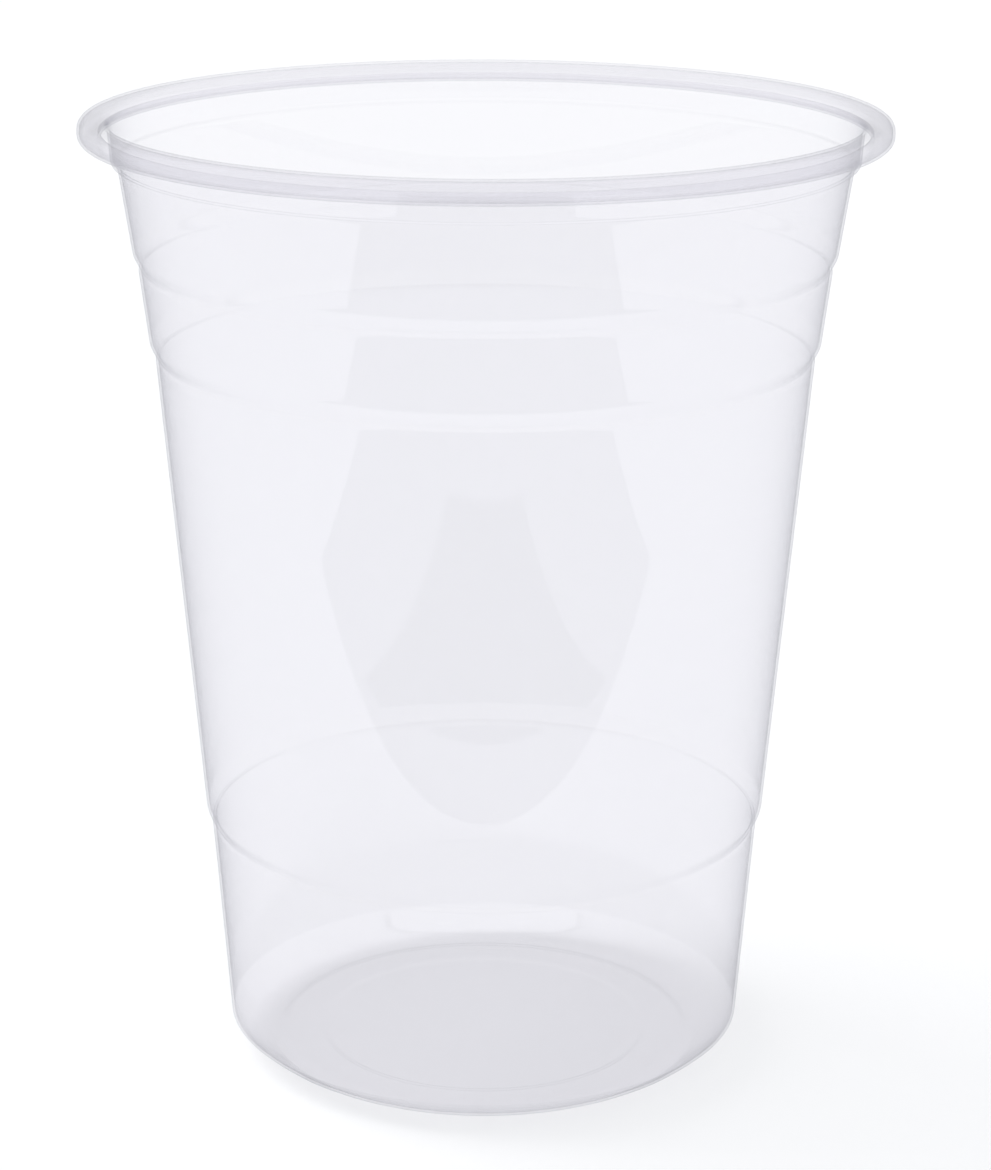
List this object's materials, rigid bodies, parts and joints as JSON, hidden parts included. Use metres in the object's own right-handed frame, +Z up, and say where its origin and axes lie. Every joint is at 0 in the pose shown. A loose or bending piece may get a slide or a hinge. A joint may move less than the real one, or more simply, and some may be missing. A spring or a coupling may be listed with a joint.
{
  "type": "clear plastic disposable cup",
  "caption": "Clear thin-walled disposable drinking cup: open tapered body with rolled rim, stepped stacking shoulders, sloped heel and narrow foot ring.",
  "frame": {"origin": "centre of the foot ring, on the surface the cup stands on", "axes": "+Z up along the cup's axis, from the foot to the rim; X and Y are alike"},
  "size_m": [0.098, 0.098, 0.119],
  "materials": {
    "clear_plastic": "clear glossy thermoformed sheet"
  },
  "bodies": {
    "root": {"cup": "clear_plastic"}
  },
  "joints": []
}
